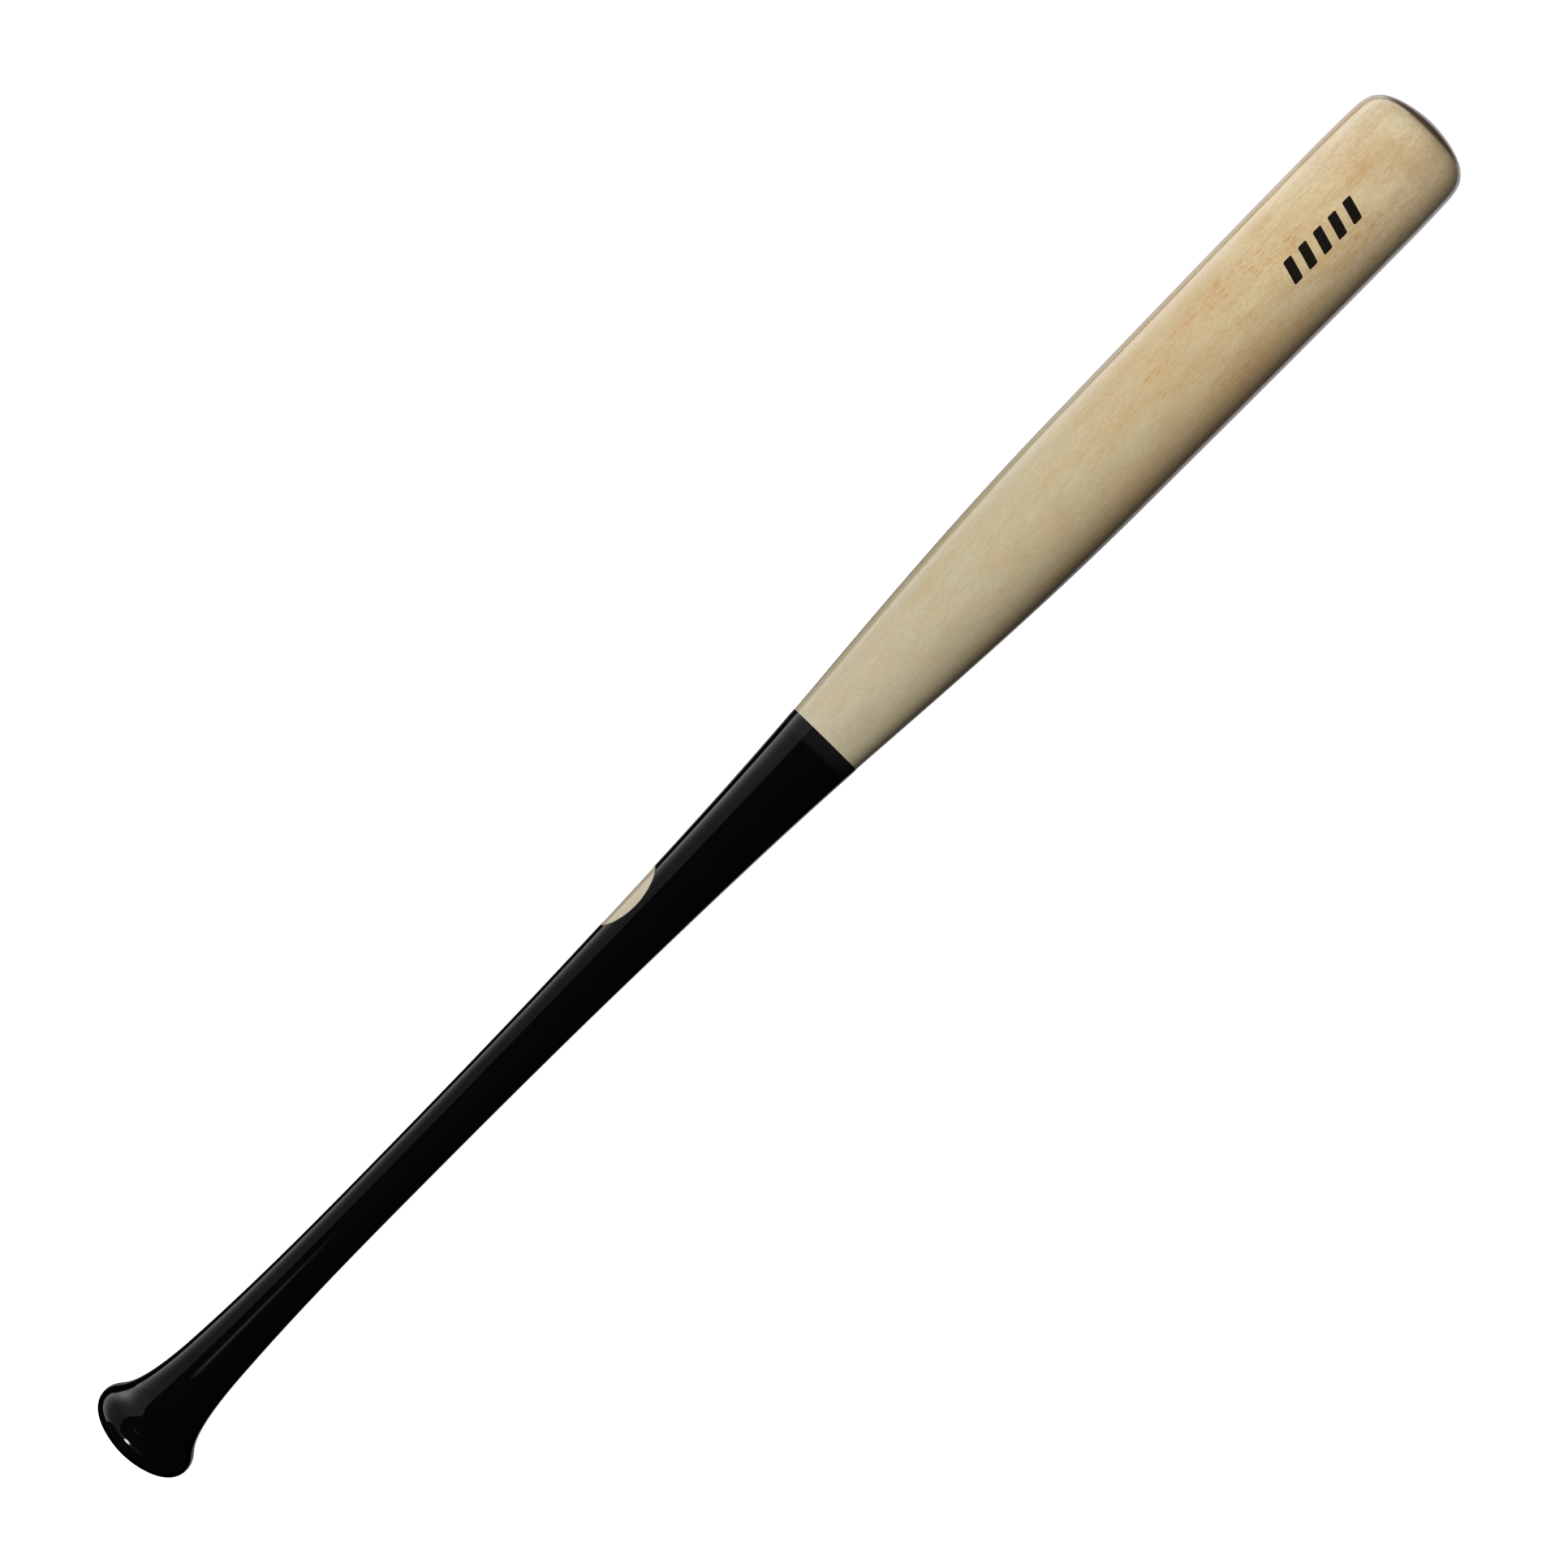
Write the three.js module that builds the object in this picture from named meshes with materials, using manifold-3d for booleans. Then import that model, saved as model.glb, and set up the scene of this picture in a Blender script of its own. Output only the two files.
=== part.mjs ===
// A one-piece turned maple baseball bat, 34 inches long: a natural, clear-finished barrel, a thin
// handle with a flared knob, and black lacquer from the knob up to a straight paint line.
// Millimetres. +X runs along the bat's axis from the knob to the barrel end, +Z is up, and the
// origin is the centre of the small flat on the knob's end.
import * as THREE from 'three';
import { mergeVertices } from 'three/addons/utils/BufferGeometryUtils.js';
import Module from 'manifold-3d';

// ---- driving dimensions ----
const LENGTH = 863.6;
const COAT = 0.2; // thickness of the black lacquer
const COAT_GAP = 0.03; // clearance between the lacquer and the wood under it
const WOOD_START = COAT + COAT_GAP;
const KNOB_FLAT_RADIUS = 6; // lathe-centre flat, sanded on the knob's end
const KNOB_RADIUS = 26.37;
const KNOB_WIDEST_X = 14.6;
const NECK_X = 61; // where the knob's flare has become the handle
const BARREL_WIDEST_X = 817;
const BARREL_RADIUS = 31.4;
const SHOULDER_X = 844.8;
const END_FLAT_RADIUS = 5; // lathe-centre flat on the barrel's end

// The long sweep from handle to barrel: distance, radius and slope at six stations.
const SWEEP = [
  { x: NECK_X, r: 14.15, slope: -0.065 },
  { x: 175, r: 11.65, slope: 0.0036 },
  { x: 320, r: 13.7, slope: 0.03 },
  { x: 480, r: 21.28, slope: 0.08 },
  { x: 640, r: 29.84, slope: 0.012 },
  { x: BARREL_WIDEST_X, r: BARREL_RADIUS, slope: 0 },
];

const PAINT_LINE_X = 463.5; // where the lacquer stops
const WINDOW_X = 348; // oval left bare in the lacquer
const WINDOW_HALF_LENGTH = 18.6;
const WINDOW_HALF_ANGLE = 43.9; // degrees around the handle
const WINDOW_TURN = 80; // degrees from +Z towards +Y

const MARK_X = 785.1; // generic printed mark on the barrel: a row of slanted bars
const MARK_TURN = -3.7; // degrees from +Z towards +Y
const MARK_COUNT = 5;
const MARK_PITCH = 9.6;
const MARK_BAR_WIDTH = 5.1;
const MARK_HEIGHT = 11.3;
const MARK_SLANT = 0.28; // shift along the bat per unit of height
const MARK_THICKNESS = 0.12;
const MARK_GAP = 0.03;

// ---- facets ----
const SIDES = 40;
const DOME_STEPS = 7;
const FLARE_STEPS = 6;
const NECK_STEPS = 7;
const HANDLE_STEPS = 15;
const BARREL_STEPS = 12;
const SHOULDER_STEPS = 3;
const END_STEPS = 8;
const OVAL_STEPS = 40;

// ---- finishes ----
const MAPLE = { color: 0xc8b083, roughness: 0.3, metalness: 0 };
const BLACK_LACQUER = { color: 0x0a0a0a, roughness: 0.12, metalness: 0 };
const MARK_INK = { color: 0x1a1512, roughness: 0.5, metalness: 0 };

const rad = THREE.MathUtils.degToRad;
const wasm = await Module();
wasm.setup();

function curve(a, b, c, d, steps) {
  const points = [a, b, c, d].map(([x, r]) => new THREE.Vector2(x, r));
  return new THREE.CubicBezierCurve(...points).getPoints(steps);
}

// Radius of the wood anywhere on the sweep, by a cubic between neighbouring stations.
function sweepRadius(x) {
  const last = SWEEP.length - 2;
  const index = SWEEP.findIndex((s, i) => i === last || x <= SWEEP[i + 1].x);
  const [a, b] = [SWEEP[index], SWEEP[index + 1]];
  const h = b.x - a.x;
  const t = (x - a.x) / h;
  const rise = t * t * (3 - 2 * t);
  const lead = t * (1 - t) * (1 - t) * a.slope * h;
  const trail = t * t * (t - 1) * b.slope * h;
  return a.r + (b.r - a.r) * rise + lead + trail;
}

function sweep(from, to, steps) {
  const stations = Array.from({ length: steps + 1 }, (_, i) => from + ((to - from) * i) / steps);
  return stations.map((x) => new THREE.Vector2(x, sweepRadius(x)));
}

// Outline of the wood from the knob's flat to the paint line, as (x, radius).
function handleOutline() {
  const dome = curve(
    [WOOD_START, KNOB_FLAT_RADIUS], [1.9, 15.6], [5.5, KNOB_RADIUS],
    [KNOB_WIDEST_X, KNOB_RADIUS], DOME_STEPS,
  );
  const flare = curve(
    [KNOB_WIDEST_X, KNOB_RADIUS], [19.3, KNOB_RADIUS], [21.5, 23.5], [24.3, 21.65], FLARE_STEPS,
  );
  const neck = curve(
    [24.3, 21.65], [30.2, 17.7], [43.5, 15.29], [NECK_X, SWEEP[0].r], NECK_STEPS,
  );
  return [
    ...dome,
    ...flare.slice(1),
    ...neck.slice(1),
    ...sweep(NECK_X, PAINT_LINE_X, HANDLE_STEPS).slice(1),
  ];
}

function barrelOutline() {
  const shoulder = curve(
    [BARREL_WIDEST_X, BARREL_RADIUS], [829.6, BARREL_RADIUS], [841.8, 30.98],
    [SHOULDER_X, 30.8], SHOULDER_STEPS,
  );
  const end = curve(
    [SHOULDER_X, 30.8], [856.5, 30.1], [859.7, 25.3], [LENGTH, END_FLAT_RADIUS], END_STEPS,
  );
  return [
    ...sweep(PAINT_LINE_X, BARREL_WIDEST_X, BARREL_STEPS).slice(1),
    ...shoulder.slice(1),
    ...end.slice(1),
  ];
}

// The same outline moved outwards; the flat's rim moves along the axis only.
function offset(outline, distance) {
  return outline.map((point, i) => {
    if (i === 0) return new THREE.Vector2(point.x - distance, point.y);
    const before = outline[i - 1];
    const after = outline[Math.min(i + 1, outline.length - 1)];
    const along = new THREE.Vector2().subVectors(after, before).normalize();
    return new THREE.Vector2(point.x - along.y * distance, point.y + along.x * distance);
  });
}

// Spins an (x, radius) outline about the X axis, with one flat facet facing straight down.
function turned(outline) {
  const profile = outline.map((p) => new THREE.Vector2(p.y, p.x));
  const geometry = new THREE.LatheGeometry(profile, SIDES, Math.PI / SIDES);
  return geometry.rotateZ(-Math.PI / 2);
}

function positionsOnly(geometry) {
  const bare = geometry.clone();
  bare.deleteAttribute('normal');
  bare.deleteAttribute('uv');
  return mergeVertices(bare, 1e-5);
}

function toSolid(geometry) {
  const merged = positionsOnly(geometry);
  return new wasm.Manifold(new wasm.Mesh({
    numProp: 3,
    vertProperties: new Float32Array(merged.attributes.position.array),
    triVerts: new Uint32Array(merged.index.array),
  }));
}

function fromSolid(solid) {
  const mesh = solid.getMesh();
  const geometry = new THREE.BufferGeometry();
  geometry.setAttribute('position', new THREE.BufferAttribute(mesh.vertProperties, 3));
  geometry.setIndex(new THREE.BufferAttribute(mesh.triVerts, 1));
  geometry.computeVertexNormals();
  return geometry;
}

// A plug through one side of the lacquer, whose outline is an ellipse laid on the round handle.
function ovalPlug() {
  const radius = sweepRadius(WINDOW_X) + WOOD_START;
  const halfAngle = rad(WINDOW_HALF_ANGLE);
  const points = Array.from({ length: OVAL_STEPS }, (_, i) => {
    const turn = (2 * Math.PI * i) / OVAL_STEPS;
    const across = radius * Math.sin(halfAngle * Math.sin(turn));
    return new THREE.Vector2(WINDOW_HALF_LENGTH * Math.cos(turn), across);
  });
  const plug = new THREE.ExtrudeGeometry(new THREE.Shape(points), {
    depth: radius,
    bevelEnabled: false,
  });
  plug.translate(0, 0, radius / 2);
  return plug.rotateX(-rad(WINDOW_TURN)).translate(WINDOW_X, 0, 0);
}

function billet() {
  const outline = [...handleOutline(), ...barrelOutline()];
  return turned([
    new THREE.Vector2(WOOD_START, 0),
    ...outline,
    new THREE.Vector2(LENGTH, 0),
  ]);
}

// A cup of lacquer over the knob and handle, with the oval window cut through it.
function lacquer() {
  const wood = handleOutline();
  const outside = offset(wood, COAT_GAP + COAT);
  const inside = offset(wood, COAT_GAP).reverse();
  const cup = turned([
    new THREE.Vector2(0, 0),
    ...outside,
    ...inside,
    new THREE.Vector2(COAT, 0),
  ]);
  return fromSolid(toSolid(cup).subtract(toSolid(ovalPlug())));
}

// One slanted bar, bent round the barrel.
function markBar(index) {
  const bar = new THREE.BoxGeometry(MARK_BAR_WIDTH, MARK_HEIGHT, MARK_THICKNESS, 1, 6, 1);
  const centre = MARK_X + (index - (MARK_COUNT - 1) / 2) * MARK_PITCH;
  const position = bar.attributes.position;
  for (let i = 0; i < position.count; i += 1) {
    const up = position.getY(i);
    const x = centre + position.getX(i) + up * MARK_SLANT;
    const height = MARK_GAP + MARK_THICKNESS / 2 + position.getZ(i);
    const radius = sweepRadius(x) + height;
    const turn = rad(MARK_TURN) + up / BARREL_RADIUS;
    position.setXYZ(i, x, radius * Math.sin(turn), radius * Math.cos(turn));
  }
  return bar;
}

function piece(name, geometry, finish) {
  const mesh = new THREE.Mesh(geometry, new THREE.MeshStandardMaterial(finish));
  mesh.name = name;
  return mesh;
}

const bat = new THREE.Group();
bat.add(piece('maple_billet', billet(), MAPLE));
bat.add(piece('handle_lacquer', lacquer(), BLACK_LACQUER));
for (let i = 0; i < MARK_COUNT; i += 1) {
  bat.add(piece(`barrel_mark_${i + 1}`, markBar(i), MARK_INK));
}

export default bat;
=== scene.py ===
import math

import bmesh
import bpy
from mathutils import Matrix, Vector


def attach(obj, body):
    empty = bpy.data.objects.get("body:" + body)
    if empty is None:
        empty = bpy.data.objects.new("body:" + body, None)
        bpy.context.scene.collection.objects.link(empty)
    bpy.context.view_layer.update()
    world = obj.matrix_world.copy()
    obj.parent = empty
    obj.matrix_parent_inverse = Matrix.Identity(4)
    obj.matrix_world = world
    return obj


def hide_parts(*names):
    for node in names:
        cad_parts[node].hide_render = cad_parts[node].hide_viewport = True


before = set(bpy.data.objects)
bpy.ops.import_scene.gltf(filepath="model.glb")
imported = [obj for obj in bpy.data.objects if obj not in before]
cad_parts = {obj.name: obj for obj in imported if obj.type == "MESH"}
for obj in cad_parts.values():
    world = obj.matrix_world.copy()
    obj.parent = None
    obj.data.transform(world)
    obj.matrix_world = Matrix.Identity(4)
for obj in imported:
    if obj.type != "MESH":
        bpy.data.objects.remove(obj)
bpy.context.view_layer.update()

MM = 0.001

# ---- the bat's driving dimensions, in millimetres ----
LENGTH = 863.6
COAT = 0.2                   # thickness of the black lacquer
COAT_GAP = 0.03              # clearance between the lacquer and the wood under it
WOOD_START = COAT + COAT_GAP
KNOB_FLAT_RADIUS = 6.0
KNOB_RADIUS = 26.37
KNOB_WIDEST_X = 14.6
NECK_X = 61.0                # where the knob's flare has become the handle
BARREL_WIDEST_X = 817.0
BARREL_RADIUS = 31.4
SHOULDER_X = 844.8
END_FLAT_RADIUS = 5.0
# distance, radius and slope of the long sweep from handle to barrel
SWEEP = [
    (NECK_X, 14.15, -0.065),
    (175.0, 11.65, 0.0036),
    (320.0, 13.7, 0.03),
    (480.0, 21.28, 0.08),
    (640.0, 29.84, 0.012),
    (BARREL_WIDEST_X, BARREL_RADIUS, 0.0),
]
PAINT_LINE_X = 463.5
WINDOW_X = 348.0
WINDOW_HALF_LENGTH = 18.6
WINDOW_HALF_ANGLE = math.radians(43.9)
WINDOW_TURN = math.radians(80)
MARK_X = 785.1
MARK_TURN = math.radians(-3.7)
MARK_COUNT = 5
MARK_PITCH = 9.6
MARK_BAR_WIDTH = 5.1
MARK_HEIGHT = 11.3
MARK_CORNER = 0.5            # radius of each bar's corners
MARK_SLANT = 0.28
MARK_THICKNESS = 0.12
MARK_GAP = 0.03

# ---- how finely it is meshed ----
SIDES = 180
DOME_STEPS = 36
FLARE_STEPS = 24
NECK_STEPS = 28
HANDLE_STEPS = 120
BARREL_STEPS = 100
SHOULDER_STEPS = 14
END_STEPS = 48
MARK_STEPS_ACROSS = 10
MARK_STEPS_UP = 24
SHARP_EDGE = math.radians(35)


# ---- outline ----
def curve(a, b, c, d, steps):
    """Points of a cubic curve from a to d, each (x, radius)."""
    points = []
    for i in range(steps + 1):
        t = i / steps
        u = 1 - t
        weights = (u ** 3, 3 * u * u * t, 3 * u * t * t, t ** 3)
        x, r = (sum(w * p[k] for w, p in zip(weights, (a, b, c, d))) for k in (0, 1))
        points.append((x, r))
    return points


def sweep_radius(x):
    """Radius of the wood anywhere on the sweep, by a cubic between neighbouring stations."""
    index = 0
    while index < len(SWEEP) - 2 and x > SWEEP[index + 1][0]:
        index += 1
    (ax, ar, a_slope), (bx, br, b_slope) = SWEEP[index], SWEEP[index + 1]
    h = bx - ax
    t = (x - ax) / h
    rise = t * t * (3 - 2 * t)
    return ar + (br - ar) * rise + t * (1 - t) ** 2 * a_slope * h + t * t * (t - 1) * b_slope * h


def sweep(start, end, steps):
    stations = [start + (end - start) * i / steps for i in range(steps + 1)]
    return [(x, sweep_radius(x)) for x in stations]


def handle_outline():
    dome = curve(
        (WOOD_START, KNOB_FLAT_RADIUS), (1.9, 15.6), (5.5, KNOB_RADIUS),
        (KNOB_WIDEST_X, KNOB_RADIUS), DOME_STEPS,
    )
    flare = curve(
        (KNOB_WIDEST_X, KNOB_RADIUS), (19.3, KNOB_RADIUS), (21.5, 23.5), (24.3, 21.65), FLARE_STEPS,
    )
    neck = curve((24.3, 21.65), (30.2, 17.7), (43.5, 15.29), (NECK_X, SWEEP[0][1]), NECK_STEPS)
    return dome + flare[1:] + neck[1:] + sweep(NECK_X, PAINT_LINE_X, HANDLE_STEPS)[1:]


def barrel_outline():
    shoulder = curve(
        (BARREL_WIDEST_X, BARREL_RADIUS), (829.6, BARREL_RADIUS), (841.8, 30.98),
        (SHOULDER_X, 30.8), SHOULDER_STEPS,
    )
    end = curve(
        (SHOULDER_X, 30.8), (856.5, 30.1), (859.7, 25.3), (LENGTH, END_FLAT_RADIUS), END_STEPS,
    )
    return sweep(PAINT_LINE_X, BARREL_WIDEST_X, BARREL_STEPS)[1:] + shoulder[1:] + end[1:]


def offset(outline, distance):
    """The outline moved outwards; the flat's rim moves along the axis only."""
    moved = []
    for i, (x, r) in enumerate(outline):
        if i == 0:
            moved.append((x - distance, r))
            continue
        before = outline[i - 1]
        after = outline[min(i + 1, len(outline) - 1)]
        along = Vector((after[0] - before[0], after[1] - before[1])).normalized()
        moved.append((x - along.y * distance, r + along.x * distance))
    return moved


def on_bat(x, r, turn):
    """A point at distance x, radius r and turn from +Z towards +Y, in metres."""
    return Vector((x * MM, r * math.sin(turn) * MM, r * math.cos(turn) * MM))


# ---- mesh helpers ----
def add_to_scene(name, data):
    thing = bpy.data.objects.new(name, data)
    bpy.context.scene.collection.objects.link(thing)
    return thing


def make_object(name, bm):
    bmesh.ops.recalc_face_normals(bm, faces=bm.faces)
    mesh = bpy.data.meshes.new(name)
    bm.to_mesh(mesh)
    bm.free()
    for polygon in mesh.polygons:
        polygon.use_smooth = True
    mesh.set_sharp_from_angle(angle=SHARP_EDGE)
    return add_to_scene(name, mesh)


def ring_pairs(count):
    return [(i, (i + 1) % count) for i in range(count)]


def cap(bm, centre, ring):
    middle = bm.verts.new(centre)
    for a, b in ring_pairs(len(ring)):
        bm.faces.new((middle, ring[a], ring[b]))


def bridge(bm, ring_a, ring_b):
    for a, b in ring_pairs(len(ring_a)):
        bm.faces.new((ring_a[a], ring_a[b], ring_b[b], ring_b[a]))


# ---- the turned wood ----
def build_wood():
    bm = bmesh.new()
    turns = [2 * math.pi * i / SIDES for i in range(SIDES)]
    outline = handle_outline() + barrel_outline()
    rings = [[bm.verts.new(on_bat(x, r, t)) for t in turns] for x, r in outline]
    for ring_a, ring_b in zip(rings, rings[1:]):
        bridge(bm, ring_a, ring_b)
    cap(bm, on_bat(WOOD_START, 0, 0), rings[0])
    cap(bm, on_bat(LENGTH, 0, 0), rings[-1])
    return make_object("turned_maple", bm)


# ---- the lacquer, with its oval window ----
# round the window a block of faces is left out, and rings that turn from a rectangle into the oval
# fill it
BLOCK_HALF_LENGTH = 25.0
BLOCK_HALF_ANGLE = math.radians(58)
WINDOW_RINGS = 9
RING_CROWDING = 1.6          # above 1, the rings lie closer together towards the oval
EDGE_DROP = COAT * 0.5       # how far the coat's outer edge is rounded down


def turn_from_window(turn):
    return (turn - WINDOW_TURN + math.pi) % (2 * math.pi) - math.pi


def block_perimeter(rows, columns):
    """Index pairs once round the block, in order."""
    first_row, last_row = rows
    first_column, last_column = columns
    path = [(i, first_column) for i in range(first_row, last_row)]
    path += [(last_row, j) for j in range(first_column, last_column)]
    path += [(i, last_column) for i in range(last_row, first_row, -1)]
    path += [(first_row, j) for j in range(last_column, first_column, -1)]
    return path


def window_ring(block_edge, part):
    """Points (x, turn) of a ring, part of the way from the block's edge to the oval."""
    ring = []
    for x, turn in block_edge:
        heading = math.atan2(turn / BLOCK_HALF_ANGLE, (x - WINDOW_X) / BLOCK_HALF_LENGTH)
        oval_x = WINDOW_X + WINDOW_HALF_LENGTH * math.cos(heading)
        oval_turn = WINDOW_HALF_ANGLE * math.sin(heading)
        ring.append((x + (oval_x - x) * part, turn + (oval_turn - turn) * part))
    return ring


def build_lacquer():
    bm = bmesh.new()
    turns = [WINDOW_TURN - math.pi + 2 * math.pi * j / SIDES for j in range(SIDES)]
    wood = handle_outline()
    near_rows = [i for i, (x, _) in enumerate(wood) if abs(x - WINDOW_X) <= BLOCK_HALF_LENGTH]
    near_columns = [j for j, t in enumerate(turns) if abs(turn_from_window(t)) <= BLOCK_HALF_ANGLE]
    rows = (near_rows[0], near_rows[-1])
    columns = (near_columns[0], near_columns[-1])
    perimeter = block_perimeter(rows, columns)

    def skin(height, edge_drop):
        """One surface of the coat; edge_drop lowers its last ring at the paint line and window."""
        outline = offset(wood, height)
        outline[-1] = (PAINT_LINE_X, outline[-1][1] - edge_drop)
        grid = []
        for i, (x, r) in enumerate(outline):
            row = []
            for j, t in enumerate(turns):
                hidden = rows[0] < i < rows[1] and columns[0] < j < columns[1]
                row.append(None if hidden else bm.verts.new(on_bat(x, r, t)))
            grid.append(row)
        for i in range(len(grid) - 1):
            for a, b in ring_pairs(SIDES):
                if not (rows[0] <= i < rows[1] and columns[0] <= a < columns[1]):
                    bm.faces.new((grid[i][a], grid[i][b], grid[i + 1][b], grid[i + 1][a]))
        ring = [grid[i][j] for i, j in perimeter]
        block_edge = [(outline[i][0], turn_from_window(turns[j])) for i, j in perimeter]
        for k in range(1, WINDOW_RINGS + 1):
            part = 1 - (1 - k / WINDOW_RINGS) ** RING_CROWDING
            drop = edge_drop if k == WINDOW_RINGS else 0
            new_ring = [
                bm.verts.new(on_bat(x, sweep_radius(x) + height - drop, turn + WINDOW_TURN))
                for x, turn in window_ring(block_edge, part)
            ]
            bridge(bm, ring, new_ring)
            ring = new_ring
        return grid, ring

    outer_grid, outer_oval = skin(COAT_GAP + COAT, EDGE_DROP)
    inner_grid, inner_oval = skin(COAT_GAP, 0)
    bridge(bm, outer_grid[-1], inner_grid[-1])
    bridge(bm, outer_oval, inner_oval)
    cap(bm, on_bat(0, 0, 0), outer_grid[0])
    cap(bm, on_bat(COAT, 0, 0), inner_grid[0])
    return make_object("black_lacquer", bm)


# ---- the printed mark ----
def build_mark_bar(index):
    """One slanted bar of ink, bent round the barrel, with small round corners."""
    bm = bmesh.new()
    centre = MARK_X + (index - (MARK_COUNT - 1) / 2) * MARK_PITCH
    across, up = MARK_STEPS_ACROSS, MARK_STEPS_UP

    def point(i, j, height):
        v = (j / up - 0.5) * MARK_HEIGHT
        short = MARK_CORNER - min(MARK_HEIGHT / 2 - abs(v), MARK_CORNER)
        pull = MARK_CORNER - math.sqrt(max(MARK_CORNER ** 2 - short ** 2, 0))
        half = MARK_BAR_WIDTH / 2 - pull
        x = centre + (i / across * 2 - 1) * half + v * MARK_SLANT
        radius = sweep_radius(min(x, BARREL_WIDEST_X)) + height
        return on_bat(x, radius, MARK_TURN + v / BARREL_RADIUS)

    skins = [
        [[bm.verts.new(point(i, j, height)) for j in range(up + 1)] for i in range(across + 1)]
        for height in (MARK_GAP, MARK_GAP + MARK_THICKNESS)
    ]
    for grid in skins:
        for i in range(across):
            for j in range(up):
                bm.faces.new((grid[i][j], grid[i + 1][j], grid[i + 1][j + 1], grid[i][j + 1]))
    border = block_perimeter((0, across), (0, up))
    bridge(bm, *[[grid[i][j] for i, j in border] for grid in skins])
    return make_object(f"ink_bar_{index + 1}", bm)


# ---- material helpers ----
def new_material(name):
    material = bpy.data.materials.new(name)
    material.use_nodes = True
    tree = material.node_tree
    return material, tree, tree.nodes["Principled BSDF"]


def add(tree, kind, inputs=None, **settings):
    """A node with its settings, and its inputs either linked (a socket) or set (a value)."""
    node = tree.nodes.new(kind)
    for key, value in settings.items():
        setattr(node, key, value)
    for key, value in (inputs or {}).items():
        socket = node.inputs[key]
        if isinstance(value, bpy.types.NodeSocket):
            tree.links.new(value, socket)
        else:
            socket.default_value = value
    return node


def math_node(tree, operation, a, b=0.0, c=0.0, clamp=False):
    inputs = {0: a, 1: b, 2: c}
    return add(tree, "ShaderNodeMath", inputs, operation=operation, use_clamp=clamp).outputs[0]


def times(tree, a, b, clamp=False):
    return math_node(tree, "MULTIPLY", a, b, clamp=clamp)


def minus(tree, a, b, clamp=False):
    return math_node(tree, "SUBTRACT", a, b, clamp=clamp)


def over(tree, a, b, clamp=False):
    return math_node(tree, "DIVIDE", a, b, clamp=clamp)


def hypotenuse(tree, a, b):
    squares = [times(tree, side, side) for side in (a, b)]
    return math_node(tree, "SQRT", math_node(tree, "ADD", *squares))


def stretched(tree, vector, scale):
    return add(tree, "ShaderNodeVectorMath", {0: vector, 1: scale}, operation="MULTIPLY").outputs[0]


def coordinate(tree, kind):
    return add(tree, "ShaderNodeTexCoord").outputs[kind]


def split(tree, vector):
    return add(tree, "ShaderNodeSeparateXYZ", {0: vector}).outputs


def in_mm(tree):
    """The place on the object in millimetres."""
    return stretched(tree, coordinate(tree, "Object"), (1000, 1000, 1000))


def noise(tree, vector, scale, detail=3.0, roughness=0.5, distortion=0.0):
    inputs = {
        "Vector": vector, "Scale": scale, "Detail": detail, "Roughness": roughness,
        "Distortion": distortion,
    }
    return add(tree, "ShaderNodeTexNoise", inputs).outputs["Fac"]


def grain(tree, mm, frequency, *settings):
    """Noise with its own frequency per millimetre along the bat, across it and up."""
    return noise(tree, stretched(tree, mm, frequency), 1.0, *settings)


def ramp(tree, factor, stops):
    node = add(tree, "ShaderNodeValToRGB", {"Fac": factor})
    elements = node.color_ramp.elements
    while len(elements) < len(stops):
        elements.new(0.5)
    for element, (position, colour) in zip(elements, stops):
        element.position = position
        element.color = (*colour, 1)
    return node.outputs["Color"]


def grey_ramp(tree, factor, stops):
    return ramp(tree, factor, [(p, (v, v, v)) for p, v in stops])


def mix_colour(tree, factor, a, b, blend="MIX"):
    node = add(tree, "ShaderNodeMix", data_type="RGBA", blend_type=blend, clamp_factor=True)
    for socket, value in ((node.inputs[0], factor), (node.inputs[6], a), (node.inputs[7], b)):
        if isinstance(value, bpy.types.NodeSocket):
            tree.links.new(value, socket)
        else:
            socket.default_value = (*value, 1)
    return node.outputs[2]


def tint(tree, colour, other, where, strength):
    """The colour, moved by strength towards another wherever the factor is 1."""
    return mix_colour(tree, times(tree, where, strength), colour, other)


def set_inputs(shader, values):
    for key, value in values.items():
        shader.inputs[key].default_value = value


def bump(tree, height, distance, strength=1.0):
    inputs = {"Height": height, "Distance": distance, "Strength": strength}
    return add(tree, "ShaderNodeBump", inputs).outputs["Normal"]


# ---- maple ----
HEART = (14.0, -92.0)        # the tree's heart beside and below the bat, as y and z
LAYER_LEAN = 0.05            # how fast the growth layers run out of the bat along its length
LAYER_WANDER = 2.6           # how far they wander, in millimetres
RIPPLE_STEP = 0.078          # thickness of one fine ripple across the layers
YEAR_STEP = 2.3
CREST_REACH = 20.0           # how far to the sides the fine ripple is measured
COLOUR_FROM = 300            # the wood's colours change along the bat from here
COLOUR_SPAN = 563.6          # over this length, to the barrel's end
# patches rich in flecks: x, y, half length, half width, strength
FLECK_PATCHES = [
    (738, 15.5, 46, 6.5, 1.0),
    (822, 9.0, 30, 8.0, 0.4),
    (722, -16.0, 44, 9.0, 0.75),
    (800, -14.0, 34, 8.0, 0.6),
    (690, 10.5, 18, 4.0, 0.7),
]
FLECK_BEND = 3.5             # how far a fleck may sway sideways
FLECK_GAIN = 2.1


def growth_layers(tree, mm, x, y, z):
    """Distance out from the tree's heart, with the lean and wander of real layers."""
    wander = grain(tree, mm, (0.012, 0.03, 0.03), 2.0)
    distance = hypotenuse(tree, minus(tree, y, HEART[0]), minus(tree, z, HEART[1]))
    leaning = math_node(tree, "MULTIPLY_ADD", x, LAYER_LEAN, distance)
    return math_node(tree, "MULTIPLY_ADD", wander, LAYER_WANDER, leaning)


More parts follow.
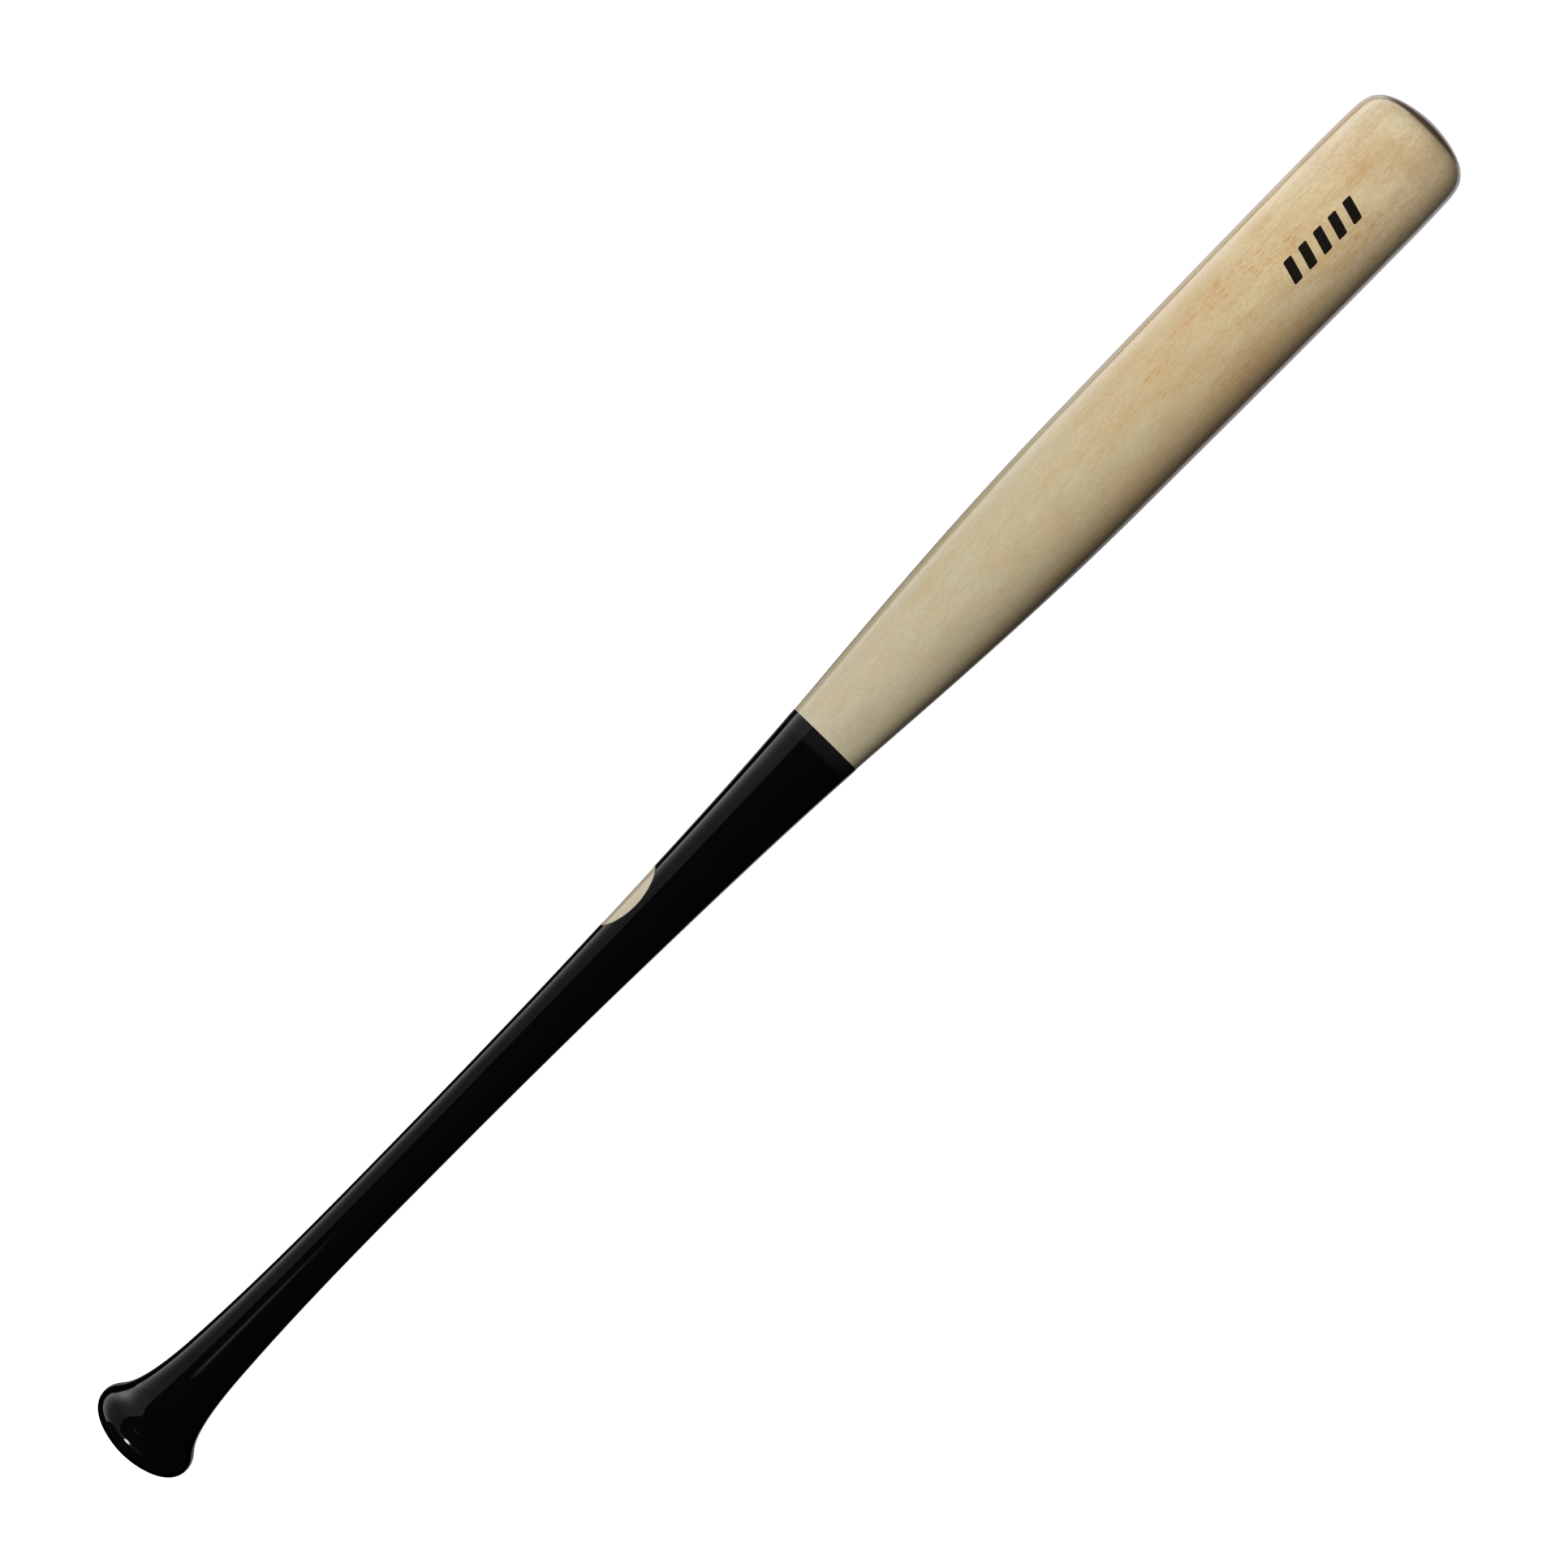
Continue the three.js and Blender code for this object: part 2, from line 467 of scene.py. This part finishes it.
def crest_weight(tree, y, z):
    """1 where the layers lie flat to the bat's surface, falling to 0 at its sides."""
    reach = math.hypot(*HEART)
    part_z = times(tree, z, HEART[0] / reach)
    lateral = math_node(tree, "MULTIPLY_ADD", y, -HEART[1] / reach, part_z)
    from_crest = over(tree, math_node(tree, "ABSOLUTE", lateral), CREST_REACH)
    return grey_ramp(tree, from_crest, [(0.2, 1.0), (0.75, 0.0)])


def patch_weight(tree, x, y, patch):
    centre_x, centre_y, half_length, half_width, strength = patch
    along = over(tree, minus(tree, x, centre_x), half_length)
    across = over(tree, minus(tree, y, centre_y), half_width)
    inside = minus(tree, 1.0, hypotenuse(tree, along, across), clamp=True)
    return times(tree, inside, strength)


def flecks(tree, mm, frequency, size, share):
    """Short strokes along the grain, kept in a share of the cells of a stretched cell pattern."""
    bend = times(tree, grain(tree, mm, (0.03, 0.10, 0.10), 2.0), FLECK_BEND)
    sideways = add(tree, "ShaderNodeCombineXYZ", {"Y": bend}).outputs[0]
    bent = add(tree, "ShaderNodeVectorMath", {0: mm, 1: sideways}, operation="ADD").outputs[0]
    cells = add(tree, "ShaderNodeTexVoronoi", {
        "Vector": stretched(tree, bent, frequency), "Scale": 1.0, "Randomness": 1.0,
    })
    spot = grey_ramp(tree, cells.outputs["Distance"], [(size * 0.35, 1.0), (size, 0.0)])
    pick = add(tree, "ShaderNodeSeparateColor", {0: cells.outputs["Color"]}).outputs[0]
    kept = grey_ramp(tree, pick, [(1 - share, 0.0), (1 - share * 0.6, 1.0)])
    return times(tree, spot, kept)


def maple_ground(tree, mm, along, y, z):
    """The wood's own colour, in soft cloudy patches, before any grain."""
    # paler and cooler at the throat, warmer at the barrel
    colour = ramp(tree, along, [
        (0.10, (0.60, 0.54, 0.41)), (0.30, (0.554, 0.52, 0.376)), (0.42, (0.552, 0.512, 0.352)),
        (0.53, (0.573, 0.526, 0.347)), (0.73, (0.686, 0.568, 0.330)),
        (0.86, (0.785, 0.66, 0.392)), (0.93, (0.83, 0.708, 0.447)), (1.0, (0.81, 0.715, 0.485)),
    ])
    cloud = grain(tree, mm, (0.028, 0.07, 0.07), 3.0, 0.55, 0.6)
    warmth = math_node(tree, "MULTIPLY_ADD", along, 0.6, 0.12)
    cloudy = grey_ramp(tree, cloud, [(0.38, 0.0), (0.66, 1.0)])
    colour = tint(tree, colour, (0.62, 0.43, 0.225), cloudy, warmth)

    # the side towards -Y: paler at the throat and the end, browner between them; the browner part
    # is partly the wood's own warmer tone and partly painted shade on the side turned away from the
    # lights
    sideways = over(tree, times(tree, y, -1.0), hypotenuse(tree, y, z))
    side_tone_and_shade_mask = grey_ramp(tree, sideways, [(0.30, 0.0), (0.50, 0.28), (0.70, 0.72), (0.88, 1.0)])
    side_tone_and_shade = ramp(tree, along, [
        (0.0, (0.74, 0.67, 0.46)), (0.30, (0.765, 0.69, 0.43)), (0.45, (0.60, 0.50, 0.30)),
        (0.54, (0.52, 0.395, 0.22)), (0.76, (0.58, 0.41, 0.22)), (0.86, (0.74, 0.575, 0.34)),
        (0.94, (0.90, 0.72, 0.44)),
    ])
    colour = mix_colour(tree, side_tone_and_shade_mask, colour, side_tone_and_shade)

    pale = grain(tree, mm, (0.05, 0.16, 0.16), 3.0, 0.6)
    pale = grey_ramp(tree, pale, [(0.5, 0.0), (0.72, 1.0)])
    return tint(tree, colour, (0.70, 0.62, 0.47), pale, 0.25)


def with_layers(tree, colour, mm, x, y, z):
    """Year lines, and the fine ripple that shows where the layers lie flat to the surface."""
    layer = growth_layers(tree, mm, x, y, z)
    year = math_node(tree, "FRACT", times(tree, layer, 1 / YEAR_STEP))
    year_line = grey_ramp(tree, year, [
        (0.0, 0.35), (0.12, 0.0), (0.75, 0.0), (0.97, 1.0), (1.0, 0.6),
    ])
    colour = tint(tree, colour, (0.42, 0.27, 0.12), year_line, 0.10)
    fine = math_node(tree, "SINE", times(tree, layer, 2 * math.pi / RIPPLE_STEP))
    patchy = grain(tree, mm, (0.035, 0.10, 0.10), 2.0)
    patchy = grey_ramp(tree, patchy, [(0.40, 0.1), (0.60, 1.0)])
    shown = times(tree, patchy, crest_weight(tree, y, z))
    ripple = times(tree, math_node(tree, "MULTIPLY_ADD", fine, 0.5, 0.5), shown)
    return tint(tree, colour, (0.34, 0.25, 0.13), ripple, 0.20)


def with_grain(tree, colour, mm, along, fibre):
    """Long fibres, pores, a fine mottle and faint soft bars across the grain."""
    dark_fibre = grey_ramp(tree, fibre, [(0.46, 0.0), (0.74, 1.0)])
    colour = tint(tree, colour, (0.44, 0.30, 0.15), dark_fibre, 0.28)
    pore = grain(tree, mm, (0.55, 1.9, 1.9), 2.0, 0.7)
    dark_pore = grey_ramp(tree, pore, [(0.50, 0.0), (0.72, 1.0)])
    pale_pore = grey_ramp(tree, pore, [(0.28, 1.0), (0.46, 0.0)])
    colour = tint(tree, colour, (0.40, 0.28, 0.15), dark_pore, 0.23)
    colour = tint(tree, colour, (0.86, 0.76, 0.56), pale_pore, 0.17)
    mottle = grain(tree, mm, (0.35, 0.75, 0.75), 4.0, 0.7, 0.4)
    warm_mottle = grey_ramp(tree, mottle, [(0.48, 0.0), (0.72, 1.0)])
    warmth = math_node(tree, "MULTIPLY_ADD", along, 0.7, -0.02)
    colour = tint(tree, colour, (0.57, 0.37, 0.17), warm_mottle, warmth)
    pale_mottle = grey_ramp(tree, mottle, [(0.28, 1.0), (0.46, 0.0)])
    colour = tint(tree, colour, (0.80, 0.68, 0.47), pale_mottle, 0.22)
    bars = grain(tree, mm, (0.12, 0.018, 0.018), 1.5, 0.5, 0.3)
    bars = grey_ramp(tree, bars, [(0.46, 0.0), (0.62, 1.0)])
    return tint(tree, colour, (0.55, 0.38, 0.19), bars, times(tree, along, 0.14))


def with_flecks(tree, colour, mm, along, x, y):
    """Orange-brown flecks in clusters, more of them towards the barrel's end."""
    cluster = grain(tree, mm, (0.03, 0.08, 0.08), 3.0, 0.6)
    cluster = grey_ramp(tree, cluster, [(0.46, 0.05), (0.66, 0.6)])
    richness = grey_ramp(tree, along, [(0.45, 0.1), (0.66, 0.4), (0.84, 0.85), (0.92, 0.35)])
    cluster = times(tree, cluster, richness)
    for patch in FLECK_PATCHES:
        cluster = math_node(tree, "MAXIMUM", cluster, patch_weight(tree, x, y, patch))
    cluster = times(tree, cluster, FLECK_GAIN, clamp=True)
    long_flecks = flecks(tree, mm, (0.13, 1.25, 1.25), 0.52, 0.62)
    small_flecks = flecks(tree, mm, (0.32, 1.7, 1.7), 0.48, 0.55)
    fleck = math_node(tree, "MAXIMUM", long_flecks, times(tree, small_flecks, 0.8))
    colour = tint(tree, colour, (0.56, 0.27, 0.085), fleck, cluster)
    return tint(tree, colour, (0.64, 0.42, 0.19), cluster, 0.30)


def with_end_grain_and_painted_shade(tree, colour):
    """End grain, on faces that look along the bat, goes dark: partly the wood's own end grain
    drinking in the finish, partly painted shade for the end's rounded rim, which faces away from
    the light.
    """
    facing = math_node(tree, "ABSOLUTE", split(tree, coordinate(tree, "Normal"))[0])
    end_grain_and_shade = grey_ramp(tree, facing, [(0.58, 0.0), (0.66, 0.35), (0.74, 1.0)])
    return mix_colour(tree, end_grain_and_shade, colour, (0.22, 0.18, 0.16), "MULTIPLY")


def maple_material():
    material, tree, shader = new_material("maple_gloss")
    mm = in_mm(tree)
    x, y, z = split(tree, mm)
    along = over(tree, minus(tree, x, COLOUR_FROM), COLOUR_SPAN, clamp=True)
    fibre = grain(tree, mm, (0.10, 1.5, 1.5), 4.0, 0.6)

    colour = maple_ground(tree, mm, along, y, z)
    colour = with_layers(tree, colour, mm, x, y, z)
    colour = with_grain(tree, colour, mm, along, fibre)
    colour = with_flecks(tree, colour, mm, along, x, y)
    colour = with_end_grain_and_painted_shade(tree, colour)
    tree.links.new(colour, shader.inputs["Base Color"])

    set_inputs(shader, {
        "Roughness": 0.5, "Specular IOR Level": 0.2,
        "Coat Weight": 1.0, "Coat Roughness": 0.045, "Coat IOR": 1.5,
    })
    sway = grain(tree, mm, (0.03, 0.12, 0.12), 2.0)
    tree.links.new(bump(tree, sway, 0.00010, 0.4), shader.inputs["Coat Normal"])
    tree.links.new(bump(tree, fibre, 0.00006, 0.5), shader.inputs["Normal"])
    return material


# ---- lacquer and ink ----
THIN_EDGE = 9.0              # the coat thins out over this length before its masked edge


def lacquer_material():
    material, tree, shader = new_material("lacquer_gloss_black")
    mm = in_mm(tree)
    x = split(tree, mm)[0]
    # a little paler where the coat thins out
    near_edge = over(tree, minus(tree, x, PAINT_LINE_X - THIN_EDGE), THIN_EDGE, clamp=True)
    thinning = grey_ramp(tree, near_edge, [(0.0, 0.0), (0.35, 0.75), (1.0, 1.0)])
    colour = mix_colour(tree, thinning, (0.0016, 0.0016, 0.0016), (0.0090, 0.0088, 0.0085))
    tree.links.new(colour, shader.inputs["Base Color"])
    set_inputs(shader, {"Roughness": 0.06, "IOR": 1.5})
    sway = grain(tree, mm, (0.05, 0.16, 0.16), 2.0)
    wood_under = grain(tree, mm, (0.05, 1.1, 1.1), 3.0)
    height = math_node(tree, "MULTIPLY_ADD", wood_under, 0.05, sway)
    tree.links.new(bump(tree, height, 0.00008, 0.4), shader.inputs["Normal"])
    return material


def ink_material():
    material, tree, shader = new_material("mark_ink_black")
    mottle = noise(tree, in_mm(tree), 1.4, 3.0)
    colour = ramp(tree, mottle, [(0.3, (0.008, 0.006, 0.005)), (0.7, (0.016, 0.012, 0.009))])
    tree.links.new(colour, shader.inputs["Base Color"])
    set_inputs(shader, {"Roughness": 0.45})
    tree.links.new(bump(tree, mottle, 0.00003, 0.4), shader.inputs["Normal"])
    return material


# ---- the pieces ----
wood = build_wood()
wood.data.materials.append(maple_material())
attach(wood, "root")
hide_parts("maple_billet")

lacquer = build_lacquer()
lacquer.data.materials.append(lacquer_material())
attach(lacquer, "root")
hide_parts("handle_lacquer")

ink = ink_material()
for bar_index in range(MARK_COUNT):
    bar = build_mark_bar(bar_index)
    bar.data.materials.append(ink)
    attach(bar, "root")
    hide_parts(f"barrel_mark_{bar_index + 1}")

# ---- camera: straight down on the bat, which crosses the picture from lower left to upper right
VIEW_CENTRE = (435.4 * MM, -0.9 * MM)
VIEW_WIDTH = 0.7266          # what the picture spans at the bat's axis
CAMERA_HEIGHT = 2.2
BAT_SLOPE = math.radians(45.47)  # the bat's angle in the picture

camera_data = bpy.data.cameras.new("camera")
camera = add_to_scene("camera", camera_data)
camera_data.sensor_width = 36.0
camera_data.lens = camera_data.sensor_width * CAMERA_HEIGHT / VIEW_WIDTH
camera_data.clip_end = 200.0
camera.location = (*VIEW_CENTRE, CAMERA_HEIGHT)
camera.rotation_euler = (0, 0, -BAT_SLOPE)
bpy.context.scene.camera = camera

# ---- studio ----
CORNERS = ((-1, -1), (1, -1), (1, 1), (-1, 1))
RAYS = ("camera", "diffuse", "glossy", "transmission", "shadow")


def emission_material(name, build_strength=None, colour=(1, 1, 1), strength=1.0):
    material = bpy.data.materials.new(name)
    material.use_nodes = True
    tree = material.node_tree
    tree.nodes.remove(tree.nodes["Principled BSDF"])
    if build_strength:
        strength = build_strength(tree)
    emission = add(tree, "ShaderNodeEmission", {"Color": (*colour, 1), "Strength": strength})
    tree.links.new(emission.outputs[0], tree.nodes["Material Output"].inputs["Surface"])
    return material, tree, emission


def seen_only_by(thing, *rays):
    for ray in RAYS:
        setattr(thing, f"visible_{ray}", ray in rays)


def sheet(name, corners, material):
    mesh = bpy.data.meshes.new(name)
    mesh.from_pydata(corners, [], [tuple(range(len(corners)))])
    mesh.materials.append(material)
    return add_to_scene(name, mesh)


# the floor touches the barrel's and the knob's lowest points
FLOOR_HALF = 40.0
FLOOR_CLEARANCE = 0.00002
FLOOR_GREY = 0.35
knob_bottom = -(KNOB_RADIUS + WOOD_START) * MM
barrel_bottom = -BARREL_RADIUS * MM
floor_tilt = (barrel_bottom - knob_bottom) / ((BARREL_WIDEST_X - KNOB_WIDEST_X) * MM)


def floor_height(x):
    return knob_bottom + floor_tilt * (x - KNOB_WIDEST_X * MM) - FLOOR_CLEARANCE


def floor_material():
    material, tree, glow = emission_material("floor_white")
    diffuse = add(tree, "ShaderNodeBsdfDiffuse", {"Color": (FLOOR_GREY, FLOOR_GREY, FLOOR_GREY, 1)})
    both = add(tree, "ShaderNodeAddShader", {0: glow.outputs[0], 1: diffuse.outputs[0]})
    tree.links.new(both.outputs[0], tree.nodes["Material Output"].inputs["Surface"])
    return material


floor = sheet("floor", [
    (a * FLOOR_HALF, b * FLOOR_HALF, floor_height(a * FLOOR_HALF)) for a, b in CORNERS
], floor_material())
seen_only_by(floor, "camera")

bpy.ops.mesh.primitive_uv_sphere_add(segments=48, ring_count=24, radius=38.0)
sky = bpy.context.object
sky.name = "backdrop"
sky.data.materials.append(emission_material("backdrop_white", strength=1.2)[0])
seen_only_by(sky, "camera")

# a long soft wall of light on the bat's left, brightest near its lower edge
WALL_RADIUS = 1.3
WALL_FROM, WALL_TO = 46.5, 135.0   # degrees from straight up towards +Y
WALL_ENDS = (-1.6, 4.0)
WALL_STEPS = 40
WALL_PEAK = 5.0
WALL_EDGE_SHARPNESS = 80.0
WALL_WHITE = (0.98, 0.98, 0.98)


def wall_strength(tree):
    x, y, z = split(tree, coordinate(tree, "Object"))
    turn = over(tree, math_node(tree, "ARCTAN2", y, z), math.pi)
    level = grey_ramp(tree, turn, [
        (0.258, 0.17), (0.417, 0.18), (0.490, 0.25), (0.540, 0.42), (0.590, 0.66), (0.634, 1.0),
        (0.75, 1.0),
    ])
    # the lower edge runs from 122 to 125 degrees beside the handle to 132 beside the barrel
    end = grey_ramp(tree, x, [
        (0.04, 0.690), (0.25, 0.693), (0.33, 0.680), (0.43, 0.682), (0.60, 0.700), (0.74, 0.735),
    ])
    inside = times(tree, minus(tree, end, turn), WALL_EDGE_SHARPNESS, clamp=True)
    along = grey_ramp(tree, x, [
        (0.0, 0.24), (0.20, 0.25), (0.28, 0.28), (0.33, 0.35), (0.37, 0.29), (0.65, 0.33),
        (0.87, 0.42), (1.0, 0.38),
    ])
    return times(tree, times(tree, times(tree, level, inside), along), WALL_PEAK)


def build_wall():
    points = []
    for i in range(WALL_STEPS + 1):
        turn = math.radians(WALL_FROM + (WALL_TO - WALL_FROM) * i / WALL_STEPS)
        y, z = WALL_RADIUS * math.sin(turn), WALL_RADIUS * math.cos(turn)
        points += [(x, y, z) for x in WALL_ENDS]
    faces = [(2 * i, 2 * i + 1, 2 * i + 3, 2 * i + 2) for i in range(WALL_STEPS)]
    mesh = bpy.data.meshes.new("light_wall")
    mesh.from_pydata(points, [], faces)
    mesh.materials.append(emission_material("light_wall", wall_strength, WALL_WHITE)[0])
    return add_to_scene("light_wall", mesh)


wall = build_wall()
seen_only_by(wall, "glossy", "transmission")

# a white card well below the bat, which its edges mirror
CARD_DROP = 0.9
CARD_FROM, CARD_TO = -1.2, 2.4
CARD_HALF_WIDTH = 1.0
CARD_PEAK = 2.0
CARD_ROUNDING = 1.6          # how bluntly the card's pattern is rounded off past the knob
CARD_FADE_END = 1.75
CARD_FADE_RATE = 3.0
CARD_WHITE = (0.93, 0.92, 1.0)


def card_strength(tree):
    """A band under the bat and on past the barrel, narrower and dimmer towards the knob."""
    x, y, _ = split(tree, coordinate(tree, "Object"))
    beyond = times(tree, math_node(tree, "MINIMUM", x, 0.0), CARD_ROUNDING)
    half_width = grey_ramp(tree, x, [
        (0.0, 0.50), (0.20, 0.53), (0.40, 0.60), (0.60, 0.58), (0.70, 0.82), (0.86, 0.84),
    ])
    out = over(tree, hypotenuse(tree, y, beyond), half_width)
    band = grey_ramp(tree, out, [(0.40, 0.0), (0.62, 0.60), (0.78, 0.42), (0.90, 0.10), (1.0, 0.0)])
    middle = grey_ramp(tree, out, [(0.0, 1.0), (0.40, 1.0), (0.62, 0.0)])
    band_level = grey_ramp(tree, x, [
        (0.0, 0.28), (0.20, 0.34), (0.39, 0.58), (0.46, 0.18), (0.60, 0.22), (0.68, 0.34),
        (0.80, 0.68),
    ])
    middle_level = grey_ramp(tree, x, [(0.30, 0.035), (0.55, 0.10), (0.80, 0.20), (0.95, 0.34)])
    middle = times(tree, middle, middle_level)
    strength = math_node(tree, "MULTIPLY_ADD", band, band_level, middle)
    fading = times(tree, minus(tree, CARD_FADE_END, x), CARD_FADE_RATE, clamp=True)
    return times(tree, times(tree, strength, fading), CARD_PEAK)


card = sheet("white_card", [
    (CARD_FROM if a < 0 else CARD_TO, b * CARD_HALF_WIDTH, -CARD_DROP) for a, b in CORNERS
], emission_material("white_card", card_strength, CARD_WHITE)[0])
seen_only_by(card, "glossy", "transmission")

# what the knob's dome mirrors: a faint screen past the knob's end, and one small lamp before it
KNOB_LIGHTS_REACH = 1.3
KNOB_LIGHTS_RISE = math.radians(22)
KNOB_LAMP_PEAK = 24.0


def screen_strength(tree):
    y = split(tree, coordinate(tree, "Object"))[1]
    across = math_node(tree, "MULTIPLY_ADD", y, 0.5, 0.5)
    return grey_ramp(tree, across, [(0.15, 0.0), (0.42, 0.12), (0.75, 0.22), (1.0, 0.2)])


def round_glow(tree, axes, inner_level, peak):
    """Brightest in the middle of a sheet and nothing at its rim; axes are the sheet's two sides."""
    place = split(tree, coordinate(tree, "Generated"))
    out = hypotenuse(tree, *[minus(tree, place[axis], 0.5) for axis in axes])
    return times(tree, grey_ramp(tree, out, [(0.0, 1.0), (0.2, inner_level), (0.5, 0.0)]), peak)


def knob_lamp_strength(tree):
    return round_glow(tree, (1, 2), 0.8, KNOB_LAMP_PEAK)


def facing_knob(name, build_strength, side, half_width, half_height, reach):
    """A glowing sheet past the knob's end and above its level, seen only in reflections."""
    away = Vector((-math.cos(KNOB_LIGHTS_RISE), 0, math.sin(KNOB_LIGHTS_RISE)))
    up = Vector((math.sin(KNOB_LIGHTS_RISE), 0, math.cos(KNOB_LIGHTS_RISE)))
    centre = away * reach + Vector((0, side, 0))
    corners = [centre + Vector((0, a * half_width, 0)) + up * (b * half_height) for a, b in CORNERS]
    thing = sheet(name, corners, emission_material(name, build_strength)[0])
    seen_only_by(thing, "glossy", "transmission")


facing_knob("knob_screen", screen_strength, 0.0, 1.0, 0.20, KNOB_LIGHTS_REACH)
facing_knob("knob_lamp", knob_lamp_strength, 0.17, 0.15, 0.20, KNOB_LIGHTS_REACH - 0.02)

# a faint lamp over the knob, whose reflection is a short dim streak on the handle's neck
STREAK_HEIGHT = 0.5
STREAK_X, STREAK_Y = 0.045, 0.108
STREAK_HALF_X, STREAK_HALF_Y = 0.040, 0.085
STREAK_PEAK = 0.6


def streak_strength(tree):
    return round_glow(tree, (0, 1), 0.5, STREAK_PEAK)


streak = sheet("streak_lamp", [
    (STREAK_X + a * STREAK_HALF_X, STREAK_Y + b * STREAK_HALF_Y, STREAK_HEIGHT) for a, b in CORNERS
], emission_material("streak_lamp", streak_strength)[0])
seen_only_by(streak, "glossy", "transmission")


def area_light(name, direction, distance, size, power, target=(0.43, 0, 0)):
    """A soft rectangular light that shines on the target and is itself never seen or mirrored."""
    light = bpy.data.lights.new(name, "AREA")
    light.shape = "RECTANGLE"
    light.size, light.size_y = size
    light.energy = power
    thing = add_to_scene(name, light)
    away = Vector(direction).normalized()
    thing.location = Vector(target) + away * distance
    thing.rotation_euler = away.to_track_quat("Z", "Y").to_euler()
    thing.visible_camera = False
    thing.visible_glossy = False


# the key: from above, leaning a little towards the knob end and to the left
KEY_LEAN = math.radians(11)
KEY_SIDE = math.radians(19.5)
KEY_DISTANCE = 8.0
KEY_POWER = 10.85 * KEY_DISTANCE ** 2
key_way = (
    -math.sin(KEY_LEAN),
    math.cos(KEY_LEAN) * math.sin(KEY_SIDE),
    math.cos(KEY_LEAN) * math.cos(KEY_SIDE),
)
area_light("key", key_way, KEY_DISTANCE, (4.0, 4.0), KEY_POWER)

# a soft fill from the left and below, which keeps the bat's left edge light
FILL_TURN = math.radians(118)
fill_way = (0, math.sin(FILL_TURN), math.cos(FILL_TURN))
area_light("fill_left", fill_way, 1.0, (0.8, 0.5), 3.5, target=(1.0, 0, 0))
# two from below, for the barrel's end and the right side, which hardly reach what the camera sees
area_light("fill_end", (0.72, -0.10, -0.69), 2.5, (1.2, 1.2), 46.0)
area_light("fill_right", (0, -0.34, -0.94), 2.0, (1.6, 0.6), 16.0)

world = bpy.data.worlds.new("studio")
bpy.context.scene.world = world
world.use_nodes = True
world.node_tree.nodes["Background"].inputs["Color"].default_value = (1, 1, 1, 1)
world.node_tree.nodes["Background"].inputs["Strength"].default_value = 0.01

bpy.context.scene.view_settings.view_transform = "Standard"
bpy.context.scene.view_settings.look = "None"
